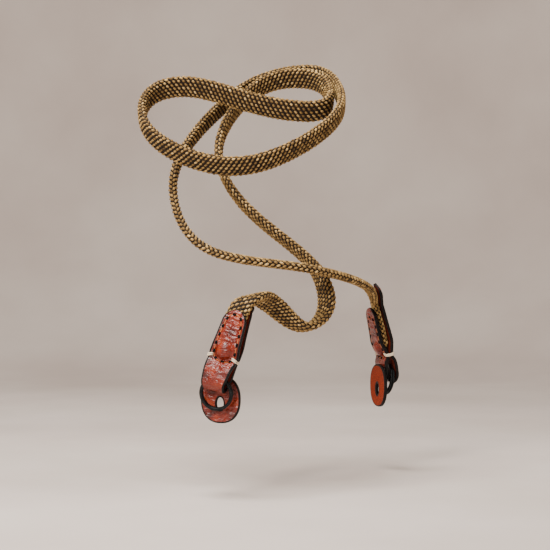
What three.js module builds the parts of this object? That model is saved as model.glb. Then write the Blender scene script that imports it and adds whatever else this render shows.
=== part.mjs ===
// Rope camera strap: a flat braided rope 1.1 m long with a folded leather tab on each end.
// Each tab is one strip, folded round a split ring and laid on both faces of the rope's end.
// An oval leather pad lies behind each ring.
// Millimetres, +Z up. The origin is the seat of the left ring, the middle of its lowest wire.
// +X runs from the left ring's seat to the right ring's seat.
import * as THREE from "three";

const seatSpacing = 146;
const faceTurn = 27.1; // degrees that each tab's outer face turns forward from the line of seats

const rope = {
  width: 13.6,
  thickness: 5.2,
  heldWidth: 12.8, // where the tabs squeeze it
  heldThickness: 4.2,
  heldTo: 22, // distance from the rope's end where the squeeze begins to open
  freeFrom: 34,
  squareness: 3, // power of the superellipse section
  sides: 12,
  turnPerStep: 27, // degrees that the route turns between two sections
  heldTurnPerStep: 9, // the same along the tabs
  heldRun: 44,
};

const ring = {
  outerRadius: 9.6,
  radialWire: 1.8,
  axialWire: 1.2,
  pitch: 1.36, // from one turn to the next
  jog: 35, // degrees to each side of the top where the wire crosses from turn to turn
  lean: 8.5,
  steps: 72,
  sides: 8,
};

const pad = {
  width: 23,
  height: 26.5,
  thickness: 2,
  centreUp: 5,
  centreAcross: 0.8,
  rimBevel: 0.4,
  holeWidth: 4,
  holeHeight: 7,
  holeUp: 2.6,
  holeAcross: 0.6,
  cornerPower: 2.3,
  outlinePoints: 36,
};

const leather = { thickness: 2, edgeRound: 0.35, gap: 0.4, step: 1.9 };
const bump = { up: 4.4, height: 1.2, halfLength: 4.2, halfWidth: 3.6 };

// The tab's fold in its own plane: out is in front of the rope's middle plane, up is above the waist.
// The rows run from the short panel's tip down the front, round the ring and up the back.
// Below the waist the strip swings a little to hang upright.
const tabFold = [
  { out: 3.6, up: 29.5, width: 11.2 },
  { out: 3.5, up: 23, width: 12.2 },
  { out: 3.5, up: 14, width: 14 },
  { out: 3.5, up: 7.5, width: 15 },
  { out: 2.1, up: 2.4, width: 15.6 },
  { out: 1.35, up: -1, width: 15.4 },
  { out: 3, up: -4.6, width: 14.2 },
  { out: 3.45, up: -10, width: 13 },
  { out: 2.7, up: -15.6, width: 12.2 },
  { out: 0, up: -17.7, width: 12.2 },
  { out: -2.7, up: -15.6, width: 12.2 },
  { out: -3.45, up: -10, width: 13 },
  { out: -3, up: -4.6, width: 14.2 },
  { out: -1.35, up: -1, width: 15.4 },
  { out: -2.1, up: 2.4, width: 15.6 },
  { out: -3.5, up: 7.5, width: 15 },
  { out: -3.5, up: 14, width: 14 },
];

// The long panel goes on along the rope's back face: distance from the rope's end, lift off the rope.
const longPanel = [
  { along: 17, width: 12.8, lift: 0.1 },
  { along: 23, width: 12.4, lift: 0.25 },
  { along: 28, width: 12, lift: 0.55 },
  { along: 32.5, width: 11.6, lift: 0.7 },
  { along: 36.5, width: 11.2, lift: 0.8 },
];

// Each end: where its seat is, how the tab stands over it (waistIn is inward of the seat's plane), the
// pad's outer face, and where the rope's first points lie on the tab's axis, as heights above the waist.
const ends = {
  left: {
    seatX: 0,
    mirror: 1,
    waistUp: 28,
    waistAcross: 3.5,
    leanAcross: 14.5,
    leanIn: 12,
    eyeSwing: 3.2,
    waistIn: 0.5,
    padFront: -3.1,
    axisPoints: [8.5, 19, 31],
    panelSide: -1,
  },
  right: {
    seatX: seatSpacing,
    mirror: -1,
    waistUp: 24.7,
    waistAcross: 0,
    leanAcross: -1,
    leanIn: 12,
    eyeSwing: -1,
    waistIn: 0.1,
    padFront: -3.4,
    axisPoints: [40, 30, 19, 8.5],
    panelSide: 1,
  },
};

// Control points of the rope's free route, and the direction of its upper front edge at each.
const freeRoute = [
  { x: 21.5, y: -7.5, z: 62, ex: 0.2, ey: -0.95, ez: 0.2 },
  { x: 37, y: -2.5, z: 60, ex: 0.05, ey: -0.8, ez: 0.6 },
  { x: 50.5, y: -4, z: 50, ex: -0.1, ey: -0.8, ez: 0.6 },
  { x: 60, y: -12, z: 40, ex: -0.55, ey: -0.8, ez: 0.1 },
  { x: 78, y: -14.5, z: 52, ex: -0.05, ey: -1, ez: 0 },
  { x: 85, y: -3, z: 71, ex: -0.3, ey: -0.95, ez: 0.1 },
  { x: 83, y: 10, z: 86, ex: -0.55, ey: -0.8, ez: 0.2 },
  { x: 63.5, y: 37, z: 109.5, ex: -0.55, ey: -0.8, ez: 0.2 },
  { x: 54, y: 54, z: 134.5, ex: -0.65, ey: -0.75, ez: 0 },
  { x: 62, y: 65, z: 159, ex: -0.8, ey: -0.6, ez: 0 },
  { x: 93.5, y: 68.5, z: 190, ex: -0.8, ey: -0.35, ez: 0.5 },
  { x: 111, y: 57, z: 199.5, ex: -0.45, ey: -0.4, ez: 0.8 },
  { x: 122, y: 34.5, z: 198, ex: -0.4, ey: -0.35, ez: 0.85 },
  { x: 115.5, y: 17, z: 186.5, ex: -0.35, ey: -0.5, ez: 0.8 },
  { x: 97, y: 2.5, z: 169.5, ex: -0.4, ey: -0.35, ez: 0.85 },
  { x: 70.5, y: 38.5, z: 175.5, ex: -0.35, ey: -0.35, ez: 0.87 },
  { x: 53.5, y: 74.5, z: 192, ex: -0.35, ey: -0.35, ez: 0.87 },
  { x: 34.5, y: 93, z: 187.5, ex: -0.45, ey: -0.4, ez: 0.8 },
  { x: 15, y: 84, z: 171, ex: -0.45, ey: -0.4, ez: 0.8 },
  { x: 8.5, y: 63.5, z: 151, ex: -0.5, ey: -0.45, ez: 0.75 },
  { x: 28.5, y: 31, z: 134.5, ex: -0.5, ey: -0.5, ez: 0.7 },
  { x: 49.5, y: 4.5, z: 138, ex: -0.5, ey: -0.5, ez: 0.7 },
  { x: 99.5, y: -7.5, z: 166.5, ex: -0.5, ey: -0.5, ez: 0.7 },
  { x: 122.5, y: 15.5, z: 189, ex: -0.45, ey: -0.4, ez: 0.8 },
  { x: 135, y: 44, z: 205, ex: -0.45, ey: -0.4, ez: 0.8 },
  { x: 113.5, y: 71, z: 200.5, ex: -0.6, ey: -0.4, ez: 0.7 },
  { x: 90.5, y: 79, z: 188.5, ex: -0.9, ey: -0.4, ez: 0.2 },
  { x: 32.5, y: 69, z: 147.5, ex: -0.8, ey: -0.6, ez: 0 },
  { x: 19, y: 60.5, z: 118.5, ex: -0.65, ey: -0.75, ez: 0 },
  { x: 16, y: 34, z: 83.5, ex: -0.65, ey: -0.75, ez: 0 },
  { x: 43, y: -19, z: 80, ex: -0.75, ey: -0.7, ez: 0 },
  { x: 104.5, y: -15.5, z: 70.5, ex: -0.65, ey: -0.75, ez: 0 },
];
const samplesPerSpan = 24;

const colours = { rope: 0xa8895a, leather: 0xa8412a, steel: 0x17191a };
const materials = {
  rope: new THREE.MeshStandardMaterial({ color: colours.rope, roughness: 0.9, metalness: 0 }),
  leather: new THREE.MeshStandardMaterial({ color: colours.leather, roughness: 0.5, metalness: 0 }),
  steel: new THREE.MeshStandardMaterial({ color: colours.steel, roughness: 0.35, metalness: 0.8 }),
};

const rad = THREE.MathUtils.degToRad;
const up = new THREE.Vector3(0, 0, 1);

function combine(...terms) {
  const sum = new THREE.Vector3();
  for (const [vector, amount] of terms) sum.addScaledVector(vector, amount);
  return sum;
}

function madeSquare(vector, axis) {
  return vector.clone().addScaledVector(axis, -vector.dot(axis)).normalize();
}

// Directions at an end: outward from the seats, across the tab, and along the tab from waist to rope.
function endFrame(end) {
  const turn = rad(faceTurn);
  const outward = new THREE.Vector3(-end.mirror * Math.cos(turn), -Math.sin(turn), 0);
  const across = new THREE.Vector3(end.mirror * Math.sin(turn), -Math.cos(turn), 0);
  const tilted = combine(
    [across, Math.sin(rad(end.leanAcross))],
    [up, Math.cos(rad(end.leanAcross))],
  );
  const axis = combine([tilted, Math.cos(rad(end.leanIn))], [outward, -Math.sin(rad(end.leanIn))]);
  const edge = madeSquare(across, axis);
  const front = edge.clone().cross(axis);
  const waist = combine(
    [new THREE.Vector3(end.seatX, 0, 0), 1],
    [outward, -end.waistIn],
    [across, end.waistAcross],
    [up, end.waistUp],
  );
  return { axis, edge, front, waist };
}

// One span of a uniform cubic B-spline through four neighbouring control points.
function splineSpan(points, u) {
  const weights = [
    (1 - u) ** 3 / 6,
    (3 * u ** 3 - 6 * u ** 2 + 4) / 6,
    (-3 * u ** 3 + 3 * u ** 2 + 3 * u + 1) / 6,
    u ** 3 / 6,
  ];
  return combine(...points.map((p, i) => [p, weights[i]]));
}

// Mirrored points beyond each end make the spline start and finish on the end points.
function withEnds(points) {
  const first = combine([points[0], 2], [points[1], -1]);
  const last = combine([points.at(-1), 2], [points.at(-2), -1]);
  return [first, ...points, last];
}

// The rope's middle line as fine samples: point, tangent, edge direction, face direction, distance.
function sampleRoute() {
  const left = endFrame(ends.left);
  const right = endFrame(ends.right);
  const onAxis = (frame) => (height) => combine([frame.waist, 1], [frame.axis, height]);
  const points = [
    ...ends.left.axisPoints.map(onAxis(left)),
    ...freeRoute.map((r) => new THREE.Vector3(r.x, r.y, r.z)),
    ...ends.right.axisPoints.map(onAxis(right)),
  ];
  const edges = [
    ...ends.left.axisPoints.map(() => left.edge),
    ...freeRoute.map((r) => new THREE.Vector3(r.ex, r.ey, r.ez).normalize()),
    ...ends.right.axisPoints.map(() => right.edge),
  ];
  const pointControls = withEnds(points);
  const edgeControls = withEnds(edges);
  const count = (points.length - 1) * samplesPerSpan;
  const samples = [];
  for (let i = 0; i <= count; i++) {
    const span = Math.min(Math.floor(i / samplesPerSpan), points.length - 2);
    const u = i / samplesPerSpan - span;
    samples.push({
      point: splineSpan(pointControls.slice(span, span + 4), u),
      edge: splineSpan(edgeControls.slice(span, span + 4), u),
      distance: 0,
    });
  }
  samples.forEach((sample, i) => {
    const before = samples[Math.max(i - 1, 0)];
    const after = samples[Math.min(i + 1, count)];
    sample.tangent = after.point.clone().sub(before.point).normalize();
    sample.edge = madeSquare(sample.edge, sample.tangent);
    sample.face = sample.edge.clone().cross(sample.tangent);
    if (i > 0) sample.distance = before.distance + sample.point.distanceTo(before.point);
  });
  return samples;
}

function smoothStep(from, to, value) {
  return THREE.MathUtils.smoothstep(value, from, to);
}

// How free of the tabs the rope is: 0 inside a tab, 1 from freeFrom on.
function freedom(distance, length) {
  return smoothStep(rope.heldTo, rope.freeFrom, Math.min(distance, length - distance));
}

function ropeSize(distance, length) {
  const free = freedom(distance, length);
  return {
    width: THREE.MathUtils.lerp(rope.heldWidth, rope.width, free),
    thickness: THREE.MathUtils.lerp(rope.heldThickness, rope.thickness, free),
  };
}

// A closed outline of a superellipse, as pairs of half-size factors.
function superellipse(count, power) {
  return Array.from({ length: count }, (_, i) => {
    const a = (2 * Math.PI * i) / count;
    const scale = (Math.abs(Math.cos(a)) ** power + Math.abs(Math.sin(a)) ** power) ** (-1 / power);
    return [Math.cos(a) * scale, Math.sin(a) * scale];
  });
}

// A closed skin over rings of equal point counts, with a fan over each end, turned to face outward.
function loft(rings) {
  const sides = rings[0].length;
  const middle = (points) => combine(...points.map((p) => [p, 1 / points.length]));
  const points = [...rings.flat(), middle(rings[0]), middle(rings.at(-1))];
  const firstMiddle = points.length - 2;
  const lastMiddle = points.length - 1;
  const lastStart = (rings.length - 1) * sides;
  const triangles = [];
  for (let i = 0; i < sides; i++) {
    const j = (i + 1) % sides;
    triangles.push([firstMiddle, i, j], [lastMiddle, lastStart + j, lastStart + i]);
    for (let k = 0; k < rings.length - 1; k++) {
      const a = k * sides;
      const b = a + sides;
      triangles.push([a + i, b + j, a + j], [a + i, b + i, b + j]);
    }
  }
  const volume = triangles.reduce(
    (sum, [a, b, c]) => sum + points[a].dot(points[b].clone().cross(points[c])),
    0,
  );
  if (volume < 0) triangles.forEach((t) => t.reverse());
  const geometry = new THREE.BufferGeometry().setFromPoints(points);
  geometry.setIndex(triangles.flat());
  geometry.computeVertexNormals();
  return geometry;
}

function makeRope(samples) {
  const length = samples.at(-1).distance;
  const picked = [samples[0]];
  let turned = 0;
  for (let i = 1; i < samples.length - 1; i++) {
    turned += samples[i].tangent.angleTo(samples[i - 1].tangent);
    const fromEnd = Math.min(samples[i].distance, length - samples[i].distance);
    if (turned < rad(fromEnd < rope.heldRun ? rope.heldTurnPerStep : rope.turnPerStep)) continue;
    picked.push(samples[i]);
    turned = 0;
  }
  picked.push(samples.at(-1));
  const outline = superellipse(rope.sides, rope.squareness);
  const rings = picked.map((s) => {
    const { width, thickness } = ropeSize(s.distance, length);
    return outline.map(([a, b]) =>
      combine([s.point, 1], [s.edge, (a * width) / 2], [s.face, (b * thickness) / 2]),
    );
  });
  return loft(rings);
}

// The section of the leather strip: shares of the width, and height over its middle plane.
// The outer face has five points, so that the bump over the rope's end can rise from it.
function stripSection(width, rise) {
  const half = leather.thickness / 2;
  const side = width / 2;
  const inner = side - Math.min(leather.edgeRound, side / 2);
  const shoulder = half - leather.edgeRound;
  const swell = (share) => rise * Math.exp(-(((share * width) / bump.halfWidth) ** 2));
  return [
    [inner, half],
    [inner / 2, half + swell(0.25)],
    [0, half + swell(0)],
    [-inner / 2, half + swell(0.25)],
    [-inner, half],
    [-side, shoulder],
    [-side, -shoulder],
    [-inner, -half],
    [0, -half],
    [inner, -half],
    [side, -shoulder],
    [side, shoulder],
  ];
}

// A leather tip is a half round: the share of the full width at a distance from the tip.
function tipShare(distance, width) {
  const reach = Math.min(distance / (width / 2), 1);
  return Math.sqrt(1 - (1 - reach) ** 2);
}

function makeTab(end, samples) {
  const frame = endFrame(end);
  const length = samples.at(-1).distance;
  const rows = tabFold.map((row) => {
    const swing = row.up < 0 ? rad(end.eyeSwing) : 0;
    const axis = frame.axis.clone().applyAxisAngle(frame.front, swing);
    const edge = frame.edge.clone().applyAxisAngle(frame.front, swing);
    const point = combine([frame.waist, 1], [axis, row.up], [frame.front, row.out]);
    return { point, edge, width: row.width };
  });
  for (const row of longPanel) {
    const distance = end.panelSide < 0 ? row.along : length - row.along;
    const sample = samples.find((s) => s.distance >= distance);
    const off = ropeSize(distance, length).thickness / 2 + leather.gap + leather.thickness / 2;
    rows.push({
      point: combine([sample.point, 1], [sample.face, end.panelSide * (off + row.lift)]),
      edge: sample.edge,
      width: row.width,
    });
  }
  const curve = new THREE.CatmullRomCurve3(
    rows.map((r) => r.point),
    false,
    "centripetal",
  );
  curve.arcLengthDivisions = 40 * rows.length;
  const run = curve.getLength();
  const tipGap = 0.3;
  const count = Math.round(run / leather.step);
  const rings = [];
  for (let i = 0; i <= count; i++) {
    const share = (tipGap + ((run - 2 * tipGap) * i) / count) / run;
    const place = curve.getUtoTmapping(share) * (rows.length - 1);
    const k = Math.min(Math.floor(place), rows.length - 2);
    const between = place - k;
    const point = curve.getPointAt(share);
    const tangent = curve.getTangentAt(share);
    const edge = madeSquare(rows[k].edge.clone().lerp(rows[k + 1].edge, between), tangent);
    const outer = tangent.clone().cross(edge);
    const fullWidth = THREE.MathUtils.lerp(rows[k].width, rows[k + 1].width, between);
    const fromTip = Math.min(share, 1 - share) * run;
    const width = fullWidth * tipShare(fromTip, fullWidth);
    const height = point.clone().sub(frame.waist).dot(frame.axis);
    const onFront = share < 0.5 ? bump.height : 0;
    const rise = onFront * Math.exp(-(((height - bump.up) / bump.halfLength) ** 2));
    rings.push(
      stripSection(width, rise).map(([a, b]) => combine([point, 1], [edge, a], [outer, b])),
    );
  }
  return loft(rings);
}

// A split ring: two flat turns of wire about local X, with the lowest wire at the origin. At the top,
// inside the tab, one turn crosses over to the other between the wire's two ends.
function makeRing() {
  const middleRadius = ring.outerRadius - ring.radialWire / 2;
  const outline = superellipse(ring.sides, 4);
  const axial = new THREE.Vector3(1, 0, 0);
  const rings = Array.from({ length: ring.steps + 1 }, (_, i) => {
    const degrees = THREE.MathUtils.lerp(ring.jog, 720 - ring.jog, i / ring.steps);
    const along = (smoothStep(360 - ring.jog, 360 + ring.jog, degrees) - 0.5) * ring.pitch;
    const a = rad(degrees);
    const radial = new THREE.Vector3(0, Math.sin(a), Math.cos(a));
    const centre = new THREE.Vector3(along, 0, middleRadius).addScaledVector(radial, middleRadius);
    return outline.map(([r, x]) =>
      combine([centre, 1], [radial, (r * ring.radialWire) / 2], [axial, (x * ring.axialWire) / 2]),
    );
  });
  return loft(rings);
}

// The pad lies in the local YZ plane: an oval plate with a small oval hole round the seat line.
function makePad(mirror, front) {
  const across = mirror * pad.centreAcross;
  const bevel = pad.rimBevel;
  const outline = superellipse(pad.outlinePoints, pad.cornerPower).map(
    ([a, b]) =>
      new THREE.Vector2(
        across + a * (pad.width / 2 - bevel),
        pad.centreUp + b * (pad.height / 2 - bevel),
      ),
  );
  const shape = new THREE.Shape(outline);
  const hole = new THREE.Path();
  hole.absellipse(
    mirror * pad.holeAcross,
    pad.holeUp,
    pad.holeWidth / 2 + bevel,
    pad.holeHeight / 2 + bevel,
    0,
    2 * Math.PI,
  );
  shape.holes.push(hole);
  const plate = new THREE.ExtrudeGeometry(shape, {
    depth: pad.thickness - 2 * bevel,
    bevelThickness: bevel,
    bevelSize: bevel,
    bevelSegments: 1,
    curveSegments: 10,
  });
  plate.translate(0, 0, front - pad.thickness + bevel);
  const toOutward = new THREE.Matrix4().makeBasis(
    new THREE.Vector3(0, 1, 0),
    new THREE.Vector3(0, 0, 1),
    new THREE.Vector3(1, 0, 0),
  );
  return plate.applyMatrix4(toOutward);
}

function addMesh(parent, name, geometry, material) {
  const mesh = new THREE.Mesh(geometry, material);
  mesh.name = name;
  parent.add(mesh);
  return mesh;
}

const strap = new THREE.Group();
const route = sampleRoute();
addMesh(strap, "strap", makeRope(route), materials.rope);

for (const [side, end] of Object.entries(ends)) {
  addMesh(strap, `tab_${side}`, makeTab(end, route), materials.leather);
  // The seat's own frame: local X points outward, local Z up.
  const seat = new THREE.Group();
  seat.position.set(end.seatX, 0, 0);
  seat.rotation.z = Math.atan2(-Math.sin(rad(faceTurn)), -end.mirror * Math.cos(rad(faceTurn)));
  const coil = addMesh(seat, `ring_${side}`, makeRing(), materials.steel);
  coil.rotation.y = rad(ring.lean);
  addMesh(seat, `pad_${side}`, makePad(end.mirror, end.padFront), materials.leather);
  strap.add(seat);
}

export default strap;
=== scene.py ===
import math

import bpy
import numpy as np
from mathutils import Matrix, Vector


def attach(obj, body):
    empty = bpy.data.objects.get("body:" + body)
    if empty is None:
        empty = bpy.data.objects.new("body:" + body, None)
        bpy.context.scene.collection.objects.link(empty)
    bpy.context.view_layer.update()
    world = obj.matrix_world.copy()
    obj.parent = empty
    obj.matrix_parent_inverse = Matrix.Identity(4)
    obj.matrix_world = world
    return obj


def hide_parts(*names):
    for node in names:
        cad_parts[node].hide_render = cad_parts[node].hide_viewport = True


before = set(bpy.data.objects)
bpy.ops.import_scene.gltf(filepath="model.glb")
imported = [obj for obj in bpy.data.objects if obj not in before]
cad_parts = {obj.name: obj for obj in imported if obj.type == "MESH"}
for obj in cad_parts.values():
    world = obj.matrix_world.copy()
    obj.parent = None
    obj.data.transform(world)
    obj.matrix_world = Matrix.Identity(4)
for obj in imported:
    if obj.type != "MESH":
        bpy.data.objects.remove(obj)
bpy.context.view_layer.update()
seeded = np.random.default_rng(11)
mm = 0.001


def addObject(name, data):
    # an object at the origin, linked to the scene
    obj = bpy.data.objects.new(name, data)
    bpy.context.scene.collection.objects.link(obj)
    return obj


# the camera is level, at the height of the tabs, and looks along the left end of the strap
camera = {
    "place": (-0.5368, -0.5534, 0.0729),
    "turn": -46.5,
    "lens": 91.64,
    "shiftUp": 0.0027,
    "nearest": 0.01,
}

eye = addObject("camera", bpy.data.cameras.new("camera"))
eye.location = camera["place"]
eye.rotation_euler = (math.radians(90), 0, math.radians(camera["turn"]))
eye.data.lens = camera["lens"]
eye.data.shift_y = camera["shiftUp"]
eye.data.clip_start = camera["nearest"]
bpy.context.scene.camera = eye
print("camera set")


# helpers for vectors and meshes
def unit(vectors):
    # each vector over its length
    return vectors / np.linalg.norm(vectors, axis=-1, keepdims=True)


def madeSquare(vectors, axis):
    # what is left of the vectors once their part along the axis is taken off
    return unit(vectors - np.sum(vectors * axis, axis=-1, keepdims=True) * axis)


def smoothStep(low, high, value):
    # 3t^2 - 2t^3 between low and high, 0 before and 1 after
    t = np.clip((value - low) / (high - low), 0, 1)
    return t * t * (3 - 2 * t)


def along(distances, table, wanted):
    # a table of vectors read at the wanted distances, one linear reading for each of x, y and z
    return np.stack([np.interp(wanted, distances, table[:, k]) for k in range(3)], axis=-1)


def runOf(line):
    # distance travelled to each point of a line
    return np.concatenate([[0], np.cumsum(np.linalg.norm(np.diff(line, axis=0), axis=1))])


def circle(count):
    # evenly spaced angles, once round
    return 2 * np.pi * np.arange(count) / count


def superellipse(angle, power):
    # x = cos a / r, y = sin a / r with r = (|cos a|^n + |sin a|^n)^(1/n)
    c, s = np.cos(angle), np.sin(angle)
    r = (np.abs(c) ** power + np.abs(s) ** power) ** (1 / power)
    return c / r, s / r


def roundOutline(across, high, sides):
    # an ellipse, x = cos a and y = sin a times half its width and height
    angle = circle(sides)
    return np.cos(angle) * across / 2, np.sin(angle) * high / 2


def sweep(path, first, second, outline, scale=None):
    # rings of outline points, path + scale * (x * first + y * second)
    x, y = outline
    size = np.ones(path.shape[:-1]) if scale is None else scale
    return (
        path[..., None, :]
        + (size[..., None] * x)[..., None] * first[..., None, :]
        + (size[..., None] * y)[..., None] * second[..., None, :]
    )


def tubes(name, grid, finishes, pick=None, joined=False, tone=None):
    # one mesh of closed tubes; grid[tube, ring, side] holds the points in millimetres
    # quads join each ring to the next, and a polygon closes each end or the last ring joins the first
    # pick is the finish number of each side, and tone one number for each ring, which a finish may read
    count, rings, sides, _ = grid.shape
    points = grid.reshape(-1, 3) * mm
    starts = np.arange(count)[:, None, None] * rings * sides
    spans = rings if joined else rings - 1
    row, column = np.meshgrid(np.arange(spans), np.arange(sides), indexing="ij")
    nextRow, nextColumn = (row + 1) % rings, (column + 1) % sides
    quads = np.stack(
        [
            row * sides + column,
            row * sides + nextColumn,
            nextRow * sides + nextColumn,
            nextRow * sides + column,
        ],
        axis=-1,
    ).reshape(-1, 4)
    # the map's u runs along a tube and its v runs round it
    u = np.stack([row, row, row + 1, row + 1], axis=-1).reshape(-1, 4) / max(rings - 1, 1)
    v = np.stack([column, column + 1, column + 1, column], axis=-1).reshape(-1, 4) / sides
    uv = np.tile(np.stack([u, v], axis=-1).reshape(-1, 2), (count, 1))
    pick = np.zeros(sides, int) if pick is None else np.asarray(pick)
    faces = [(quads[None] + starts).reshape(-1, 4)]
    marks = [np.tile(pick[column.reshape(-1)], count)]
    # the first tube's signed volume tells if the faces point inwards
    a, b, c, d = (points[quads[:, k]] for k in range(4))
    volume = np.sum(a * np.cross(b, c)) + np.sum(a * np.cross(c, d))
    if not joined:
        caps = np.stack([np.arange(sides)[::-1], np.arange(sides) + (rings - 1) * sides])
        faces.append((caps[None] + starts).reshape(-1, sides))
        marks.append(np.full(2 * count, np.max(pick)))
        uv = np.vstack([uv, np.full((2 * count * sides, 2), 0.5)])
        for p in points[caps]:
            volume += np.sum(p[0] * np.sum(np.cross(p[1:-1], p[2:]), axis=0))
    if volume < 0:
        split = faces[0].size
        uv = np.vstack([uv[:split].reshape(-1, 4, 2)[:, ::-1].reshape(-1, 2), uv[split:]])
        faces = [f[:, ::-1] for f in faces]
    corners = np.concatenate([f.reshape(-1) for f in faces])
    sizes = np.concatenate([np.full(len(f), f.shape[1]) for f in faces])
    mesh = bpy.data.meshes.new(name)
    mesh.vertices.add(len(points))
    mesh.vertices.foreach_set("co", points.reshape(-1))
    mesh.loops.add(len(corners))
    mesh.loops.foreach_set("vertex_index", corners)
    mesh.polygons.add(len(sizes))
    mesh.polygons.foreach_set("loop_start", np.concatenate([[0], np.cumsum(sizes)[:-1]]))
    mesh.polygons.foreach_set("material_index", np.concatenate(marks))
    mesh.polygons.foreach_set("use_smooth", np.ones(len(sizes), bool))
    mesh.update(calc_edges=True)
    mesh.uv_layers.new(name="UVMap").data.foreach_set("uv", uv.reshape(-1))
    if tone is not None:
        layer = mesh.attributes.new("tone", "FLOAT", "POINT")
        layer.data.foreach_set("value", np.repeat(tone, sides))
    mesh.validate()
    for finish in finishes:
        mesh.materials.append(finish)
    return addObject(name, mesh)


# helpers for materials
def colour(code):
    # sRGB hex to linear: p / 12.92 when dark, else ((p + 0.055) / 1.055)^2.4
    parts = [int(code[i : i + 2], 16) / 255 for i in (0, 2, 4)]
    return [p / 12.92 if p <= 0.04045 else ((p + 0.055) / 1.055) ** 2.4 for p in parts] + [1]


def link(tree, node, links):
    # each entry feeds one socket of the node from another node's output
    for key, source in links.items():
        tree.links.new(source, node.inputs[key])


def addNode(tree, kind, settings={}, links={}):
    # settings name the node's properties or sockets, and stops are a ramp's (place, hex) pairs
    node = tree.nodes.new("ShaderNode" + kind)
    for key, value in settings.items():
        if key == "stops":
            band = node.color_ramp.elements
            while len(band) < len(value):
                band.new(0.5)
            for element, (place, code) in zip(band, value):
                element.position = place
                element.color = colour(code)
        elif isinstance(key, str) and hasattr(node, key):
            setattr(node, key, value)
        else:
            node.inputs[key].default_value = value
    link(tree, node, links)
    return node


def newFinish(name, settings):
    # a material whose shader's own sockets are set by name
    finish = bpy.data.materials.new(name)
    finish.use_nodes = True
    shader = finish.node_tree.nodes["Principled BSDF"]
    for key, value in settings.items():
        shader.inputs[key].default_value = value
    return finish, finish.node_tree, shader


def makeMottled(name, settings, scale, detail, stops, bump=None, gloss=None):
    # a noise on the piece's own place, coloured by a ramp; it may also raise a bump, given as height in
    # millimetres and strength, or move the roughness between two values
    finish, tree, shader = newFinish(name, settings)
    spot = addNode(tree, "TexCoord").outputs["Object"]
    noise = addNode(tree, "TexNoise", {"Scale": scale, "Detail": detail}, {"Vector": spot}).outputs["Fac"]
    ramp = addNode(tree, "ValToRGB", {"stops": stops}, {"Fac": noise})
    link(tree, shader, {"Base Color": ramp.outputs["Color"]})
    if bump:
        raised = addNode(tree, "Bump", {"Strength": bump[1], "Distance": bump[0] * mm}, {"Height": noise})
        link(tree, shader, {"Normal": raised.outputs["Normal"]})
    if gloss:
        spread = addNode(tree, "MapRange", {"To Min": gloss[0], "To Max": gloss[1]}, {"Value": noise})
        link(tree, shader, {"Roughness": spread.outputs["Result"]})
    return finish


yarn = {
    "twistPerFloat": 3.0,
    "bundles": 9,  # round a float; single fibres are too fine to show, so bundles stand for them
    "fibreHeight": 0.12,  # millimetres
    "fibreTone": 0.3,  # how far the fibres move the colour
    # the ramps' dark ends are reached at the float tips, where painted shade pulls the tone down
    "tan": [(0.0, "281D11"), (0.35, "6E552F"), (0.62, "A18049"), (1.0, "E0BF80")],
    "dark": [(0.0, "0B0704"), (0.5, "1B120A"), (1.0, "322313")],
    # the core's near black also paints the shade in the gaps between floats
    "core": [(0.3, "0F0A06"), (0.7, "2C1F12")],
    "coreScale": 900.0,  # grain about 1.1 mm wide
}


def makeYarn(name, stops, roughness, sheen):
    # spun polyester-cotton yarn, braided: matt, fine fibres along each float, tone drifting a little, and
    # painted shade darkening the float tips through the tone attribute
    finish, tree, shader = newFinish(name, {
        "Roughness": roughness,
        "Sheen Weight": sheen,
        "Sheen Roughness": 0.5,
        "Specular IOR Level": 0.25,
        "IOR": 1.5,
    })
    tone = addNode(tree, "Attribute", {"attribute_name": "tone"})
    place = addNode(tree, "UVMap", {"uv_map": "UVMap"})
    slanted = addNode(  # fibres lie on a slant of the yarn's own twist
        tree,
        "Mapping",
        {"Scale": (yarn["twistPerFloat"], yarn["bundles"], 1)},
        {"Vector": place.outputs["UV"]},
    )
    fibres = addNode(
        tree,
        "TexWave",
        {"wave_type": "BANDS", "bands_direction": "DIAGONAL", "Scale": 1.0, "Distortion": 1.2},
        {"Vector": slanted.outputs["Vector"]},
    )
    mixed = addNode(
        tree,
        "Math",
        {"operation": "MULTIPLY_ADD", 1: yarn["fibreTone"]},
        {0: fibres.outputs["Fac"], 2: tone.outputs["Fac"]},
    )
    spun = addNode(tree, "ValToRGB", {"stops": stops}, {"Fac": mixed.outputs[0]})
    bump = addNode(
        tree,
        "Bump",
        {"Strength": 0.5, "Distance": yarn["fibreHeight"] * mm},
        {"Height": fibres.outputs["Fac"]},
    )
    link(tree, shader, {"Base Color": spun.outputs["Color"], "Normal": bump.outputs["Normal"]})
    return finish


tanYarn = makeYarn("tan spun yarn", yarn["tan"], 0.8, 0.03)
darkYarn = makeYarn("dark brown spun yarn", yarn["dark"], 0.9, 0.02)
# the braid's inside, seen only in the gaps between floats: dull, its near black brown standing as painted
# shade in those gaps
shadedCoreCloth = makeMottled("braid core, dark as painted shade", {"Roughness": 0.95}, yarn["coreScale"], 2.0, yarn["core"])

hide = {  # sizes in millimetres; a noise of scale 1000 / size has patches of about that size
    "grainWidth": 0.8,
    "grainHeight": 0.12,
    "poreWidth": 0.45,
    "creaseWidth": 3.4,
    "creaseHeight": 1.7,
    "creaseScale": (0.7, 0.7, 1.5),  # bending creases lie level, so their pattern is drawn out sideways
    "cloudWidth": 7,
    "poreTone": 0.45,  # how far the pores move the colour
    "waxed": [(0.45, "220400"), (0.62, "540C00"), (0.8, "821E02"), (1.0, "AE460E")],
    "pulled": "701A00",
    "napWidth": 0.5,
    "napHeight": 0.12,
    # the tabs' nap is drawn darker than the pad's, as painted shade
    "shadedTabNap": [(0.3, "320C03"), (0.55, "641C06"), (0.75, "92360D")],
    "padNap": [(0.3, "4E1403"), (0.55, "8A2A07"), (0.75, "B8480F")],
    "paint": [(0.35, "060505"), (0.7, "120E0F")],
    "paintWidth": 1.6,
    "paintHeight": 0.15,
}


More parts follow.
